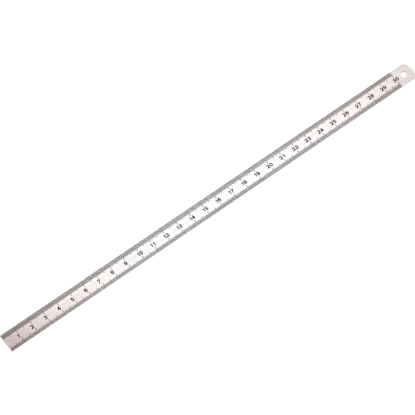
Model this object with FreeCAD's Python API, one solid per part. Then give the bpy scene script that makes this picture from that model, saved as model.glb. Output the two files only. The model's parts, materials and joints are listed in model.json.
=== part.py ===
# Narrow flexible steel ruler with a 300 mm scale.
#
# The ruler is one strip of spring steel. Both long edges are graduated in half millimetres, and one
# row of centimetre numerals between the two scales serves both of them. The marks and numerals are
# etched pockets, filled with black enamel that stands just below the steel. Past the 300 mm line the
# strip runs on as a plain tab with a rounded end and a hanging hole.
#
# Frame: X along the strip from the zero end to the tab, Y across it towards the upper scale, Z up
# out of the graduated face. The origin is the bottom centre of the bounding box. Sizes are in mm.

import FreeCAD, Part
import math
import os

# Strip
SCALE_LENGTH = 300.0
TAB_LENGTH = 13.0
WIDTH = 13.0
THICKNESS = 0.5
EDGE_BREAK = 0.08          # chamfer that dulls every outer edge
TIP_RADIUS = 9.5           # of the arc that ends the tab
TIP_CORNER_RADIUS = 0.5    # where that arc meets the long edges
HOLE_RADIUS = 2.1
HOLE_FROM_SCALE_END = 6.4
TIP_SECTORS = 12           # equal faces along the tip and round the hole's wall,
HOLE_SECTORS = 20          # so that a mesh of them stays round

# Etching and enamel
ETCH_DEPTH = 0.06
FILL_RECESS = 0.015        # how far the enamel stands below the steel

# Marks: (length from the edge, line width)
HALF_MM_MARK = (2.55, 0.225)
MM_MARK = (2.98, 0.225)
FIVE_MM_MARK = (3.72, 0.235)
CM_MARK = (4.48, 0.25)
MARK_PITCH = 0.5
LOW_AT_ZERO = 0.58         # the etched artwork runs askew: it sits this far below the centre line at 0
LOW_AT_END = 0.1           # and this far below it at 300

# Numerals
DIGIT_HEIGHT = 2.55
DIGIT_WIDTH = 1.85
DIGIT_STROKE = 0.46
DIGIT_PITCH = 2.24         # between the middles of the two digits of a number
PITCH_AFTER_ONE = 1.93     # the same, where the first digit is a 1
PAIR_MIDDLE = -0.13        # middle of a two-digit number, past its centimetre line
LONE_MIDDLE = -0.92        # middle of a one-digit number, past its centimetre line

CM = 10.0
CM_COUNT = round(SCALE_LENGTH / CM)
TOTAL_LENGTH = SCALE_LENGTH + TAB_LENGTH
ZERO_X = -TOTAL_LENGTH / 2
HALF_WIDTH = WIDTH / 2
TIP_RISE = TIP_RADIUS - math.sqrt(TIP_RADIUS**2 - HALF_WIDTH**2)
POCKET_FLOOR = THICKNESS - ETCH_DEPTH
FILL_TOP = THICKNESS - FILL_RECESS
TOOL_OVERSHOOT = 0.5       # cutting tools stand this far out of the strip
LEVEL = 1e-6               # places closer than this are the same


def vec(x, y, z=0.0):
    return FreeCAD.Vector(x, y, z)


# ---- the strip ----

def equal_arcs(centre, radius, start, end, count):
    """An arc from start to end degrees, in equal lengths."""
    turn = (end - start) / count
    starts = [start + turn * step for step in range(count)]
    return [Part.makeCircle(radius, centre, vec(0, 0, 1), angle, angle + turn) for angle in starts]


def strip_outline():
    """The strip's outline at z = 0, before its corners are rounded at the tip."""
    tip_x = ZERO_X + TOTAL_LENGTH
    low_zero = vec(ZERO_X, -HALF_WIDTH)
    low_tip = vec(tip_x - TIP_RISE, -HALF_WIDTH)
    top_tip = vec(tip_x - TIP_RISE, HALF_WIDTH)
    top_zero = vec(ZERO_X, HALF_WIDTH)
    reach = math.degrees(math.asin(HALF_WIDTH / TIP_RADIUS))
    edges = equal_arcs(vec(tip_x - TIP_RADIUS, 0), TIP_RADIUS, -reach, reach, TIP_SECTORS)
    edges.append(Part.LineSegment(top_tip, top_zero).toShape())
    edges.append(Part.LineSegment(top_zero, low_zero).toShape())
    edges.append(Part.LineSegment(low_zero, low_tip).toShape())
    return Part.Wire(edges)


def upright_edges(plate, x):
    """The plate's vertical edges at this x."""
    found = []
    for edge in plate.Edges:
        box = edge.BoundBox
        if box.ZLength > THICKNESS / 2 and abs(box.Center.x - x) < LEVEL:
            found.append(edge)
    return found


def hanging_hole():
    """The round plug that is cut from the tab."""
    centre = vec(ZERO_X + SCALE_LENGTH + HOLE_FROM_SCALE_END, 0)
    rim = Part.Wire(equal_arcs(centre, HOLE_RADIUS, 0, 360, HOLE_SECTORS))
    return Part.Face(rim).extrude(vec(0, 0, THICKNESS))


def plain_strip():
    """The strip with its tip, hanging hole and dulled edges, before it is etched."""
    plate = Part.Face(strip_outline()).extrude(vec(0, 0, THICKNESS))
    corners = upright_edges(plate, ZERO_X + TOTAL_LENGTH - TIP_RISE)
    plate = plate.makeFillet(TIP_CORNER_RADIUS, corners)
    plate = plate.cut(hanging_hole())
    level_edges = [edge for edge in plate.Edges if edge.BoundBox.ZLength < LEVEL]
    return plate.makeChamfer(EDGE_BREAK, level_edges)


# ---- the marks ----

def artwork_shift(distance):
    """How far the artwork is moved across the strip at this distance from the zero end."""
    done = distance / SCALE_LENGTH
    return -LOW_AT_ZERO * (1 - done) - LOW_AT_END * done


def chamfer_y(z):
    """The distance from the strip's centre line to the dulled top edge at height z."""
    return HALF_WIDTH - EDGE_BREAK + (THICKNESS - z)


def mark_inner_y(distance, length, side):
    """Where a mark ends towards the numerals, measured from the centre line towards its own edge."""
    return HALF_WIDTH - length + side * artwork_shift(distance)


def mark_fill(distance, mark, side):
    """The enamel of one mark. side is 1 on the upper scale and -1 on the lower one."""
    length, width = mark
    x = ZERO_X + distance - width / 2
    inner = side * mark_inner_y(distance, length, side)
    profile = [
        vec(x, inner, POCKET_FLOOR),
        vec(x, side * chamfer_y(POCKET_FLOOR), POCKET_FLOOR),
        vec(x, side * chamfer_y(FILL_TOP), FILL_TOP),
        vec(x, inner, FILL_TOP),
    ]
    return Part.Face(Part.makePolygon(profile + profile[:1])).extrude(vec(width, 0, 0))


def mark_tool(distance, mark, side):
    """The box that etches one mark's pocket, open at the strip's edge."""
    length, width = mark
    inner = mark_inner_y(distance, length, side)
    reach = HALF_WIDTH + TOOL_OVERSHOOT - inner
    y = inner if side > 0 else -inner - reach
    corner = vec(ZERO_X + distance - width / 2, y, POCKET_FLOOR)
    return Part.makeBox(width, reach, ETCH_DEPTH + TOOL_OVERSHOOT, corner)


def mark_class(distance):
    """The name of the class of the mark at this distance from the zero end."""
    if distance % CM == 0:
        return "centimetre_marks"
    if distance % (CM / 2) == 0:
        return "five_millimetre_marks"
    if distance % 1 == 0:
        return "millimetre_marks"
    return "half_millimetre_marks"


def mark_classes():
    """Each class's name, its mark and every distance from the zero end where one stands."""
    marks = {
        "half_millimetre_marks": HALF_MM_MARK,
        "millimetre_marks": MM_MARK,
        "five_millimetre_marks": FIVE_MM_MARK,
        "centimetre_marks": CM_MARK,
    }
    distances = [MARK_PITCH * step for step in range(1, round(SCALE_LENGTH / MARK_PITCH) + 1)]
    return [(name, marks[name], [d for d in distances if mark_class(d) == name]) for name in marks]


# ---- the numerals: strokes are given by their middle lines, about the digit's centre ----

HALF_STROKE = DIGIT_STROKE / 2
TOP = DIGIT_HEIGHT / 2 - HALF_STROKE     # height of a stroke along the top
RIGHT = DIGIT_WIDTH / 2 - HALF_STROKE    # place of a stroke down the right side
SIDE = TOP - RIGHT                       # half the length of a straight side between two rounds
SMALL_BOWL = 0.47 * TOP                  # radius of the upper bowl of 3 and 8
LARGE_BOWL = TOP - SMALL_BOWL            # radius of their lower bowl


def bar(start, end):
    """A straight stroke with square ends, from one point to another of its middle line."""
    a = vec(*start)
    b = vec(*end)
    side = vec(a.y - b.y, b.x - a.x)
    side.normalize()
    side = side * HALF_STROKE
    corners = [a - side, b - side, b + side, a + side]
    return Part.Face(Part.makePolygon(corners + corners[:1]))


def on_circle(centre, radius, degrees):
    turn = math.radians(degrees)
    return (centre[0] + radius * math.cos(turn), centre[1] + radius * math.sin(turn))


def bow(centre, radius, start, end):
    """A stroke along an arc, counter-clockwise from start to end degrees, radius at its middle line."""
    angles = (start, (start + end) / 2, end)
    outer = [vec(*on_circle(centre, radius + HALF_STROKE, angle)) for angle in angles]
    inner = [vec(*on_circle(centre, radius - HALF_STROKE, angle)) for angle in angles]
    edges = [
        Part.Arc(outer[0], outer[1], outer[2]).toShape(),
        Part.LineSegment(outer[2], inner[2]).toShape(),
        Part.Arc(inner[2], inner[1], inner[0]).toShape(),
        Part.LineSegment(inner[0], outer[0]).toShape(),
    ]
    return Part.Face(Part.Wire(edges))


def bowl(y, radius):
    """A closed bowl as wide as the digit: two half rounds joined by level strokes."""
    spread = RIGHT - radius
    return [
        bow((spread, y), radius, -90, 90),
        bow((-spread, y), radius, 90, 270),
        bar((-spread, y + radius), (spread, y + radius)),
        bar((-spread, y - radius), (spread, y - radius)),
    ]


def digit_zero():
    return [
        bow((0, SIDE), RIGHT, 0, 180),
        bow((0, -SIDE), RIGHT, 180, 360),
        bar((RIGHT, -SIDE), (RIGHT, SIDE)),
        bar((-RIGHT, -SIDE), (-RIGHT, SIDE)),
    ]


def digit_one():
    stem = 0.2
    flag_reach = 0.55
    flag_drop = 0.46
    return [
        bar((stem, -TOP - HALF_STROKE), (stem, TOP + HALF_STROKE)),
        bar((stem - flag_reach, TOP - flag_drop + HALF_STROKE / 4), (stem, TOP)),
    ]


def digit_two():
    """The slanting stroke leaves the bow along its tangent."""
    foot = (-RIGHT, -TOP)
    centre = (0, SIDE)
    dx = foot[0] - centre[0]
    dy = foot[1] - centre[1]
    swing = math.acos(RIGHT / math.hypot(dx, dy))
    leave = math.degrees(math.atan2(dy, dx) + swing)
    hook = 170
    return [
        bow(centre, RIGHT, leave, hook),
        bar(foot, on_circle(centre, RIGHT, leave)),
        bar((-RIGHT - HALF_STROKE, -TOP), (RIGHT + HALF_STROKE, -TOP)),
    ]


def digit_three():
    small_spread = RIGHT - SMALL_BOWL
    large_spread = RIGHT - LARGE_BOWL
    waist = TOP - 2 * SMALL_BOWL
    waist_start = -0.3
    hook = 75
    return [
        bow((small_spread, TOP - SMALL_BOWL), SMALL_BOWL, -90, 90),
        bow((-small_spread, TOP - SMALL_BOWL), SMALL_BOWL, 90, 90 + hook),
        bar((-small_spread, TOP), (small_spread, TOP)),
        bar((waist_start, waist), (small_spread, waist)),
        bow((large_spread, LARGE_BOWL - TOP), LARGE_BOWL, -90, 90),
        bow((-large_spread, LARGE_BOWL - TOP), LARGE_BOWL, 270 - hook, 270),
        bar((-large_spread, -TOP), (large_spread, -TOP)),
    ]


def digit_four():
    stem = 0.3
    crossbar = -0.42
    slant_top = stem - 0.08
    return [
        bar((stem, -TOP - HALF_STROKE), (stem, TOP + HALF_STROKE)),
        bar((-RIGHT - HALF_STROKE, crossbar), (RIGHT + HALF_STROKE, crossbar)),
        bar((-RIGHT, crossbar), (slant_top, TOP + HALF_STROKE)),
    ]


def digit_five():
    """The bowl's inner rim starts at the lower right corner of the stem."""
    stem = 0.18 - RIGHT
    radius = 0.6 * TOP
    centre = (RIGHT - radius, radius - TOP)
    inner_radius = radius - HALF_STROKE
    start = math.degrees(math.acos((stem + HALF_STROKE - centre[0]) / inner_radius))
    stem_foot = on_circle(centre, inner_radius, start)[1]
    hook = 210
    return [
        bar((stem, TOP), (RIGHT, TOP)),
        bar((stem, TOP + HALF_STROKE), (stem, stem_foot)),
        bow(centre, radius, hook - 360, start),
    ]


def digit_six():
    hook = 25
    return [
        bow((0, -SIDE), RIGHT, 0, 180),
        bow((0, -SIDE), RIGHT, 180, 360),
        bow((0, SIDE), RIGHT, hook, 180),
        bar((-RIGHT, -SIDE), (-RIGHT, SIDE)),
    ]


def digit_seven():
    """The slanting stroke runs past the digit's corners and is trimmed there."""
    overshoot = DIGIT_STROKE
    foot = -0.42
    return [
        bar((-RIGHT - HALF_STROKE, TOP), (RIGHT + HALF_STROKE, TOP)),
        bar((RIGHT + HALF_STROKE / 4, TOP + HALF_STROKE), (foot, -TOP - overshoot)),
    ]


def digit_eight():
    return bowl(TOP - SMALL_BOWL, SMALL_BOWL) + bowl(LARGE_BOWL - TOP, LARGE_BOWL)


def join(strokes):
    """One flat face from strokes that overlap, trimmed to the digit's height and width."""
    frame = Part.makePlane(DIGIT_WIDTH, DIGIT_HEIGHT, vec(-DIGIT_WIDTH / 2, -DIGIT_HEIGHT / 2))
    return strokes[0].fuse(strokes[1:]).common(frame).removeSplitter()


def digit_faces():
    """The ten digits as flat faces, each centred on the origin. A 9 is a 6 turned half-way round."""
    shapes = [digit_zero, digit_one, digit_two, digit_three, digit_four,
              digit_five, digit_six, digit_seven, digit_eight, digit_six]
    faces = [join(shape()) for shape in shapes]
    faces[9].rotate(vec(0, 0), vec(0, 0, 1), 180)
    return faces


def digit_middles(digits):
    """How far past its centimetre line each digit of a number has its middle."""
    if len(digits) == 1:
        return [LONE_MIDDLE]
    pitch = PITCH_AFTER_ONE if digits[0] == "1" else DIGIT_PITCH
    return [PAIR_MIDDLE - pitch / 2, PAIR_MIDDLE + pitch / 2]


def number_solids(number, faces, height):
    """The digits of a number, standing on the pocket floor."""
    distance = CM * number
    digits = str(number)
    solids = []
    for digit, middle in zip(digits, digit_middles(digits)):
        face = faces[int(digit)].copy()
        face.translate(vec(ZERO_X + distance + middle, artwork_shift(distance), POCKET_FLOOR))
        solids.append(face.extrude(vec(0, 0, height)))
    return solids


# ---- build ----

def etched_strip(tools):
    """The strip with every pocket cut, as one solid.

    It is etched in lengths of a centimetre, which are then fused. A length ends between two marks,
    half-way between two numerals, and its faces keep to it, so no face holds more than its pockets.
    """
    strip = plain_strip()
    first_end = CM / 2 + MARK_PITCH / 2
    ends = [ZERO_X] + [ZERO_X + first_end + CM * step for step in range(CM_COUNT)]
    ends.append(ZERO_X + TOTAL_LENGTH)
    lengths = []
    for start, end in zip(ends, ends[1:]):
        box = Part.makeBox(end - start, WIDTH, THICKNESS, vec(start, -HALF_WIDTH, 0))
        inside = [tool for tool in tools if start < tool.BoundBox.Center.x < end]
        length = strip.common(box)
        lengths.append(length.cut(inside) if inside else length)
    return lengths[0].fuse(lengths[1:])


def write(name, solids):
    shape = solids[0] if len(solids) == 1 else Part.makeCompound(solids)
    shape.exportStep(f"parts/{name}.step")
    print(f"{name}: {len(shape.Solids)} solids, {len(shape.Faces)} faces, {shape.Volume:.3f} mm3")


def main():
    os.makedirs("parts", exist_ok=True)
    tools = []
    for scale, side in (("upper", 1), ("lower", -1)):
        for name, mark, distances in mark_classes():
            write(f"{scale}_{name}", [mark_fill(d, mark, side) for d in distances])
            tools += [mark_tool(d, mark, side) for d in distances]
    faces = digit_faces()
    for number in range(1, CM_COUNT + 1):
        write(f"numeral_{number:02d}", number_solids(number, faces, ETCH_DEPTH - FILL_RECESS))
        tools += number_solids(number, faces, ETCH_DEPTH + TOOL_OVERSHOOT)
    write("blade", etched_strip(tools).Solids)


main()
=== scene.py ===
"""The steel ruler's looks: satin spring steel with black enamel in its etched marks and numerals.

Every piece of the ruler is a CAD node, and this script gives each one its material. Lengths are in
metres and in the CAD frame: X runs along the ruler from its zero end to its hanging tab, Y across it
towards the upper scale, and Z out of the graduated face. The ruler lies flat on the floor, at z = 0.
Angles are in degrees. A noise's stretch is its number of features per metre along X, Y and Z.
"""
import json
import math

import bpy
from mathutils import Matrix, Vector


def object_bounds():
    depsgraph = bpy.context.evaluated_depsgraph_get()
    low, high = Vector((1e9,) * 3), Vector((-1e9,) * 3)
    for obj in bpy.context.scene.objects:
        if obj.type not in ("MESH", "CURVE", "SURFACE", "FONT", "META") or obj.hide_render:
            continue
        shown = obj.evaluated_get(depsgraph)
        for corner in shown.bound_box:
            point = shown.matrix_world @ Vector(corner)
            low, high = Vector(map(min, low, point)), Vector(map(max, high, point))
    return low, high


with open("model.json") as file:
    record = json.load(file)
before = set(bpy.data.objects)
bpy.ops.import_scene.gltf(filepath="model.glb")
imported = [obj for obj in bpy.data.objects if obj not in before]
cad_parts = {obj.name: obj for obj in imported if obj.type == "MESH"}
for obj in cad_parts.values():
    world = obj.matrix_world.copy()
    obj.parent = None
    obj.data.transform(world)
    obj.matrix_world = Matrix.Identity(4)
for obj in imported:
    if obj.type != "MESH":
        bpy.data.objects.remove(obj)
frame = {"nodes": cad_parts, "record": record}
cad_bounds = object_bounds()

MM_PER_METRE = 1000
HALF_LENGTH = (cad_bounds[1].x - cad_bounds[0].x) / 2
HALF_WIDTH = (cad_bounds[1].y - cad_bounds[0].y) / 2


# ---- camera ----

CAMERA_AZIMUTH = -30.845       # 0 looks along +Y
CAMERA_ELEVATION = 61.542      # above the floor
CAMERA_ROLL = 6.403            # positive leans the picture's up to the right
CAMERA_DISTANCE = 1.67774      # from the point that it aims at
CAMERA_AIM = (-0.004779, -0.000221, 0.0005)
CAMERA_LENS = 235.34           # in mm, as the sensor's width is
SENSOR_WIDTH = 36.0
NEAREST_SEEN = 0.01
FARTHEST_SEEN = 50


def add_camera():
    azimuth = math.radians(CAMERA_AZIMUTH)
    elevation = math.radians(CAMERA_ELEVATION)
    back = Vector((
        math.sin(azimuth) * math.cos(elevation),
        -math.cos(azimuth) * math.cos(elevation),
        math.sin(elevation),
    ))
    level_right = Vector((0, 0, 1)).cross(back).normalized()
    level_up = back.cross(level_right)
    roll = math.radians(CAMERA_ROLL)
    right = level_right * math.cos(roll) - level_up * math.sin(roll)
    up = level_up * math.cos(roll) + level_right * math.sin(roll)
    data = bpy.data.cameras.new("camera")
    data.lens = CAMERA_LENS
    data.sensor_width = SENSOR_WIDTH
    data.clip_start = NEAREST_SEEN
    data.clip_end = FARTHEST_SEEN
    camera = bpy.data.objects.new("camera", data)
    turn = Matrix((right, up, back)).transposed().to_4x4()
    camera.matrix_world = Matrix.Translation(Vector(CAMERA_AIM) + back * CAMERA_DISTANCE) @ turn
    bpy.context.scene.collection.objects.link(camera)
    bpy.context.scene.camera = camera


# ---- node helpers ----

MIX_INPUTS = (0, 6, 7)         # a Mix node's sockets for its factor and its colours A and B
MIX_OUTPUT = 2                 # and for the mixed colour


class Nodes:
    """A node tree and short ways to add the nodes used here."""

    def __init__(self, tree):
        self.tree = tree
        tree.nodes.clear()

    def add(self, kind, inputs=None, **settings):
        node = self.tree.nodes.new(kind)
        for name, value in settings.items():
            setattr(node, name, value)
        for name, value in (inputs or {}).items():
            self.feed(node.inputs[name], value)
        return node

    def feed(self, socket, value):
        """Links another node's socket to this one, or sets this one to a plain value."""
        if isinstance(value, bpy.types.NodeSocket):
            self.tree.links.new(value, socket)
        else:
            socket.default_value = value

    def math(self, operation, a, b=0.0):
        node = self.add("ShaderNodeMath", operation=operation)
        self.feed(node.inputs[0], a)
        self.feed(node.inputs[1], b)
        return node.outputs[0]

    def axis(self, vector, name):
        """One number of a vector, by the name of its axis."""
        node = self.add("ShaderNodeSeparateXYZ")
        self.feed(node.inputs[0], vector)
        return node.outputs[name]

    def between(self, kind, a, b):
        """The DISTANCE between two vectors or their DOT_PRODUCT."""
        node = self.add("ShaderNodeVectorMath", operation=kind)
        self.feed(node.inputs[0], a)
        self.feed(node.inputs[1], b)
        return node.outputs["Value"]

    def span(self, value, low, high, out_low=0.0, out_high=1.0, smooth=True):
        """value mapped from low..high to out_low..out_high, and held at the ends."""
        curve = "SMOOTHSTEP" if smooth else "LINEAR"
        node = self.add("ShaderNodeMapRange", {
            "Value": value, "From Min": low, "From Max": high,
            "To Min": out_low, "To Max": out_high}, interpolation_type=curve)
        return node.outputs["Result"]

    def mix(self, factor, a, b):
        """Colour a where factor is 0 and b where it is 1."""
        node = self.add("ShaderNodeMix", data_type="RGBA")
        for index, value in zip(MIX_INPUTS, (factor, a, b)):
            self.feed(node.inputs[index], value)
        return node.outputs[MIX_OUTPUT]

    def noise(self, place, stretch, detail):
        scaled = self.add("ShaderNodeVectorMath", operation="MULTIPLY")
        self.feed(scaled.inputs[0], place)
        self.feed(scaled.inputs[1], stretch)
        node = self.add("ShaderNodeTexNoise", {
            "Vector": scaled.outputs[0], "Scale": 1.0, "Detail": detail})
        return node.outputs["Fac"]


def new_material(name):
    material = bpy.data.materials.new(name)
    material.use_nodes = True
    return material, Nodes(material.node_tree)


def finish_material(nodes, shader):
    output = nodes.add("ShaderNodeOutputMaterial")
    nodes.feed(output.inputs["Surface"], shader.outputs[0])


# ---- what the materials share ----

NOISE_SPREAD = (0.35, 0.65)    # most of a noise's values lie between these
BUMP_DEPTH = 0.00001           # how deep a bump of strength 1 is


# ---- steel ----

LEVEL_COSINE = 0.5             # a face whose normal is less upright than this is a wall
STEEL_DULL = (0.67, 0.655, 0.65, 1)
STEEL_BRIGHT = (0.81, 0.795, 0.79, 1)
STEEL_ROUGHNESS = (0.13, 0.165)
STEEL_BUMP = 0.1

GRAIN_STRETCH = (60, 9000, 9000)
GRAIN_ROUGHNESS = 0.03         # added where the grain is highest
STREAK_STRETCH = (9, 1100, 1100)
STREAK_SHARE = 0.3             # how much of the colour's change is streaks; the rest is grain
CLOUD_STRETCH = (22, 90, 90)
CLOUD_SPREAD = (0.3, 0.7)

SCRATCH_STRETCH = (45, 7000, 7000)
SCRATCH_RARITY = 0.7           # the noise above this is a scratch
SCRATCH_SIDE = 0.05            # how much further above it the scratch is whole
SCRATCH_DIRECTIONS = (-4, 2, 13, -31)
SCRATCH_DEPTH = 0.7            # of the grain's height
SCRATCH_ROUGHNESS = 0.04

UNDERSIDE_ROUGHNESS = 0.08     # added all over the underside

# the hanging hole's wall: duller cut steel, darkened further by painted shade where the wall lies in
# shadow
PUNCHED_STEEL_AND_SHADE = (0.52, 0.50, 0.50, 1)
PUNCHED_REACH = 1.2            # walls this many radii from the hole's middle are the hole's
PUNCHED_ROUGHNESS = 0.3


def punched_wall(nodes, place, wall):
    """1 on the wall of the hanging hole, and 0 elsewhere."""
    hole = next(mount for mount in frame["record"]["mounts"] if mount["name"] == "hanging_hole")
    reach = PUNCHED_REACH * hole["dims"]["r_mm"] / MM_PER_METRE
    near = nodes.math("LESS_THAN", nodes.between("DISTANCE", place, hole["pos_m"]), reach)
    return nodes.math("MULTIPLY", near, wall)


def hair_scratches(nodes, place):
    """1 on a few thin straight scratches, and 0 elsewhere."""
    scratched = 0.0
    for degrees in SCRATCH_DIRECTIONS:
        turned = nodes.add("ShaderNodeVectorRotate", {
            "Vector": place, "Angle": math.radians(degrees)}, rotation_type="Z_AXIS")
        noise = nodes.noise(turned.outputs[0], SCRATCH_STRETCH, detail=1)
        found = nodes.span(noise, SCRATCH_RARITY, SCRATCH_RARITY + SCRATCH_SIDE)
        scratched = nodes.math("MAXIMUM", found, scratched)
    return scratched


def satin_steel():
    """Spring steel, ground along its length: the grain spreads reflections across the ruler."""
    material, nodes = new_material("satin_steel")
    texture = nodes.add("ShaderNodeTexCoord")
    place = texture.outputs["Object"]
    up = nodes.axis(texture.outputs["Normal"], "Z")
    wall = nodes.math("LESS_THAN", nodes.math("ABSOLUTE", up), LEVEL_COSINE)
    underside = nodes.math("LESS_THAN", up, -LEVEL_COSINE)
    punched = punched_wall(nodes, place, wall)

    grain = nodes.noise(place, GRAIN_STRETCH, detail=3)
    streaks = nodes.noise(place, STREAK_STRETCH, detail=2)
    clouds = nodes.noise(place, CLOUD_STRETCH, detail=3)
    scratched = hair_scratches(nodes, place)

    lines = nodes.math(
        "ADD",
        nodes.math("MULTIPLY", streaks, STREAK_SHARE),
        nodes.math("MULTIPLY", grain, 1 - STREAK_SHARE))
    ground = nodes.mix(nodes.span(lines, *NOISE_SPREAD), STEEL_DULL, STEEL_BRIGHT)
    # the hole's wall takes the darker colour: duller cut steel plus painted shade
    colour = nodes.mix(punched, ground, PUNCHED_STEEL_AND_SHADE)

    roughness = nodes.span(clouds, *CLOUD_SPREAD, *STEEL_ROUGHNESS)
    for mask, added in (
            (grain, GRAIN_ROUGHNESS), (scratched, SCRATCH_ROUGHNESS),
            (underside, UNDERSIDE_ROUGHNESS), (punched, PUNCHED_ROUGHNESS)):
        roughness = nodes.math("ADD", roughness, nodes.math("MULTIPLY", mask, added))

    height = nodes.math("SUBTRACT", grain, nodes.math("MULTIPLY", scratched, SCRATCH_DEPTH))
    bump = nodes.add("ShaderNodeBump", {
        "Height": height, "Strength": STEEL_BUMP, "Distance": BUMP_DEPTH})
    tangent = nodes.add("ShaderNodeCombineXYZ", {"Y": nodes.math("SUBTRACT", 1.0, wall), "Z": wall})
    shader = nodes.add("ShaderNodeBsdfPrincipled", {
        "Base Color": colour, "Metallic": 1.0, "Roughness": roughness, "Anisotropic": 1.0,
        "Normal": bump.outputs[0], "Tangent": tangent.outputs[0]})
    finish_material(nodes, shader)
    return material


# ---- enamel ----

ENAMEL_DEEP = (0.010, 0.010, 0.011, 1)
ENAMEL_PALE = (0.048, 0.047, 0.049, 1)
ENAMEL_RUBBED = (0.16, 0.155, 0.155, 1)
ENAMEL_ROUGHNESS = (0.36, 0.52)
ENAMEL_BUMP = 0.3
MOTTLE_STRETCH = (1500, 1500, 1500)
FLECK_STRETCH = (9000, 9000, 9000)
FLECK_RUBBED = (0.5, 0.62)     # the flecks' noise where a rubbed spot starts, and where it is whole
EDGE_WEAR = 0.00025            # how far in from the long edges the enamel is rubbed


def black_enamel():
    """Enamel baked into the etched pockets: slightly uneven, and rubbed thin along the long edges."""
    material, nodes = new_material("black_enamel")
    place = nodes.add("ShaderNodeTexCoord").outputs["Object"]
    mottle = nodes.span(nodes.noise(place, MOTTLE_STRETCH, detail=4), *NOISE_SPREAD)
    flecks = nodes.noise(place, FLECK_STRETCH, detail=2)
    across = nodes.math("ABSOLUTE", nodes.axis(place, "Y"))
    edge = nodes.span(across, HALF_WIDTH - EDGE_WEAR, HALF_WIDTH)
    rubbed = nodes.math("MULTIPLY", edge, nodes.span(flecks, *FLECK_RUBBED))
    baked = nodes.mix(mottle, ENAMEL_DEEP, ENAMEL_PALE)
    colour = nodes.mix(rubbed, baked, ENAMEL_RUBBED)
    height = nodes.math("ADD", mottle, flecks)
    bump = nodes.add("ShaderNodeBump", {
        "Height": height, "Strength": ENAMEL_BUMP, "Distance": BUMP_DEPTH})
    shader = nodes.add("ShaderNodeBsdfPrincipled", {
        "Base Color": colour, "Roughness": nodes.span(mottle, 0.0, 1.0, *ENAMEL_ROUGHNESS),
        "Normal": bump.outputs[0]})
    finish_material(nodes, shader)
    return material


def dress(node, material):
    """Gives every material slot of a CAD node this material."""
    mesh = frame["nodes"][node].data
    if not mesh.materials:
        mesh.materials.append(material)
    for index in range(len(mesh.materials)):
        mesh.materials[index] = material


def dress_ruler():
    steel = satin_steel()
    enamel = black_enamel()
    for node in frame["nodes"]:
        dress(node, steel if node == "blade" else enamel)


# ---- floor ----

FLOOR_SIZE = 24.0
FLOOR_DROP = 0.00002           # below the ruler, so that the floor and the underside don't coincide
FLOOR_COLOUR = (0.86, 0.86, 0.86, 1)
FLOOR_ROUGHNESS = 0.9
FLOOR_GLOW = 0.35
WHITE = (1, 1, 1, 1)


def add_floor():
    data = bpy.data.meshes.new("floor")
    half = FLOOR_SIZE / 2
    corners = [(-half, -half, -FLOOR_DROP), (half, -half, -FLOOR_DROP),
               (half, half, -FLOOR_DROP), (-half, half, -FLOOR_DROP)]
    data.from_pydata(corners, [], [(0, 1, 2, 3)])
    floor = bpy.data.objects.new("floor", data)
    bpy.context.scene.collection.objects.link(floor)
    material, nodes = new_material("white_floor")
    shader = nodes.add("ShaderNodeBsdfPrincipled", {
        "Base Color": FLOOR_COLOUR, "Roughness": FLOOR_ROUGHNESS,
        "Emission Color": WHITE, "Emission Strength": FLOOR_GLOW})
    finish_material(nodes, shader)
    data.materials.append(material)


# ---- light ----

HORIZON = (0.97, 0.97, 0.975, 1)
DOME = (0.95, 0.945, 0.945, 1)
DOME_STARTS = 0.35             # the sine of the elevation where the horizon has faded into the dome
FLAGS = (                      # the direction of a dim panel, and its colour
    ((-0.30, 0.88, 0.36), (0.70, 0.695, 0.70, 1)),
    ((0.45, -0.85, 0.28), (0.70, 0.695, 0.70, 1)),
    ((-0.86, -0.28, 0.42), (0.10, 0.10, 0.105, 1)),
)
FLAG_INNER = 10                # the angle from its middle where a panel begins to fade
FLAG_OUTER = 36                # and where it ends
CARD_INNER = 24                # the same for the soft card
CARD_OUTER = 44
CARD_STOPS = (                 # distance from the zero end in mm, and the colour mirrored there
    (-90, (0.94, 0.93, 0.93, 1)),
    (-25, (0.78, 0.68, 0.685, 1)),
    (5, (0.92, 0.83, 0.835, 1)),
    (25, (1.15, 1.08, 1.06, 1)),
    (45, (1.455, 1.345, 1.335, 1)),
    (65, (1.34, 1.305, 1.28, 1)),
    (85, (1.33, 1.37, 1.37, 1)),
    (115, (1.37, 1.385, 1.395, 1)),
    (215, (1.36, 1.385, 1.395, 1)),
    (265, (1.365, 1.31, 1.31, 1)),
    (287, (1.41, 1.29, 1.29, 1)),
    (305, (1.16, 1.12, 1.12, 1)),
    (340, (1.08, 1.03, 1.02, 1)),
    (430, (0.98, 0.97, 0.97, 1)),
)


def mirror_direction(distance):
    """Where the main camera's line of sight goes after it meets the ruler, this far from its zero end."""
    camera = bpy.context.scene.camera.matrix_world.translation
    sight = Vector((cad_bounds[0].x + distance, 0, 0)) - camera
    return Vector((sight.x, sight.y, -sight.z)).normalized()


def cosine(degrees):
    return math.cos(math.radians(degrees))


def panel(nodes, way, direction, inner, outer):
    """1 in the middle of a round patch of sky, fading to 0 between these two angles from its middle."""
    return nodes.span(nodes.between("DOT_PRODUCT", way, direction), cosine(outer), cosine(inner))


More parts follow.
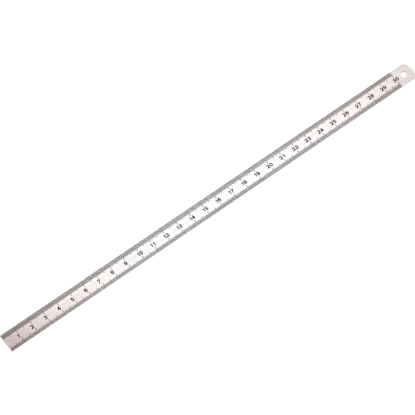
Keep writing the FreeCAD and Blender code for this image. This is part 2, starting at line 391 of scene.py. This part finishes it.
def card_colour(nodes, way):
    """The card's gradient, fixed to the world.

    Each stop lies where the main camera sees it mirrored at its own distance along the ruler.
    """
    sweep = (mirror_direction(2 * HALF_LENGTH) - mirror_direction(0)).normalized()
    places = [mirror_direction(distance / MM_PER_METRE).dot(sweep) for distance, _ in CARD_STOPS]
    first, last = places[0], places[-1]
    along = nodes.span(nodes.between("DOT_PRODUCT", way, sweep), first, last, smooth=False)
    ramp = nodes.add("ShaderNodeValToRGB", {"Fac": along})
    stops = ramp.color_ramp.elements
    while len(stops) < len(CARD_STOPS):
        stops.new(0.5)
    for stop, place, (_, colour) in zip(stops, places, CARD_STOPS):
        stop.position = (place - first) / (last - first)
        stop.color = colour
    return ramp.outputs["Color"]


def add_world():
    """A white studio: a pale dome, three dim panels, and a soft card that the graduated face mirrors.

    The camera itself sees plain white wherever it looks past the floor.
    """
    world = bpy.data.worlds.new("studio")
    bpy.context.scene.world = world
    world.use_nodes = True
    world.cycles.sampling_method = "NONE"    # smooth light all round needs no light sampling
    nodes = Nodes(world.node_tree)
    way = nodes.add("ShaderNodeTexCoord").outputs["Generated"]
    height = nodes.axis(way, "Z")
    colour = nodes.mix(nodes.span(height, 0.0, DOME_STARTS), HORIZON, DOME)
    for direction, flag in FLAGS:
        colour = nodes.mix(panel(nodes, way, direction, FLAG_INNER, FLAG_OUTER), colour, flag)
    card = panel(nodes, way, mirror_direction(HALF_LENGTH), CARD_INNER, CARD_OUTER)
    colour = nodes.mix(card, colour, card_colour(nodes, way))
    seen = nodes.add("ShaderNodeLightPath").outputs["Is Camera Ray"]
    colour = nodes.mix(seen, colour, WHITE)
    background = nodes.add("ShaderNodeBackground", {"Color": colour, "Strength": 1.0})
    output = nodes.add("ShaderNodeOutputWorld")
    nodes.feed(output.inputs["Surface"], background.outputs[0])


# ---- picture ----

PICTURE_GAMMA = 0.6            # makes the picture nearly linear: marks finer than a pixel look darker


def set_picture():
    view = bpy.context.scene.view_settings
    view.view_transform = "Standard"
    view.look = "None"
    view.gamma = PICTURE_GAMMA
    bpy.context.scene.cycles.use_denoising = False    # it would smear the marks


# ---- build ----


add_camera()
dress_ruler()
add_floor()
add_world()
set_picture()
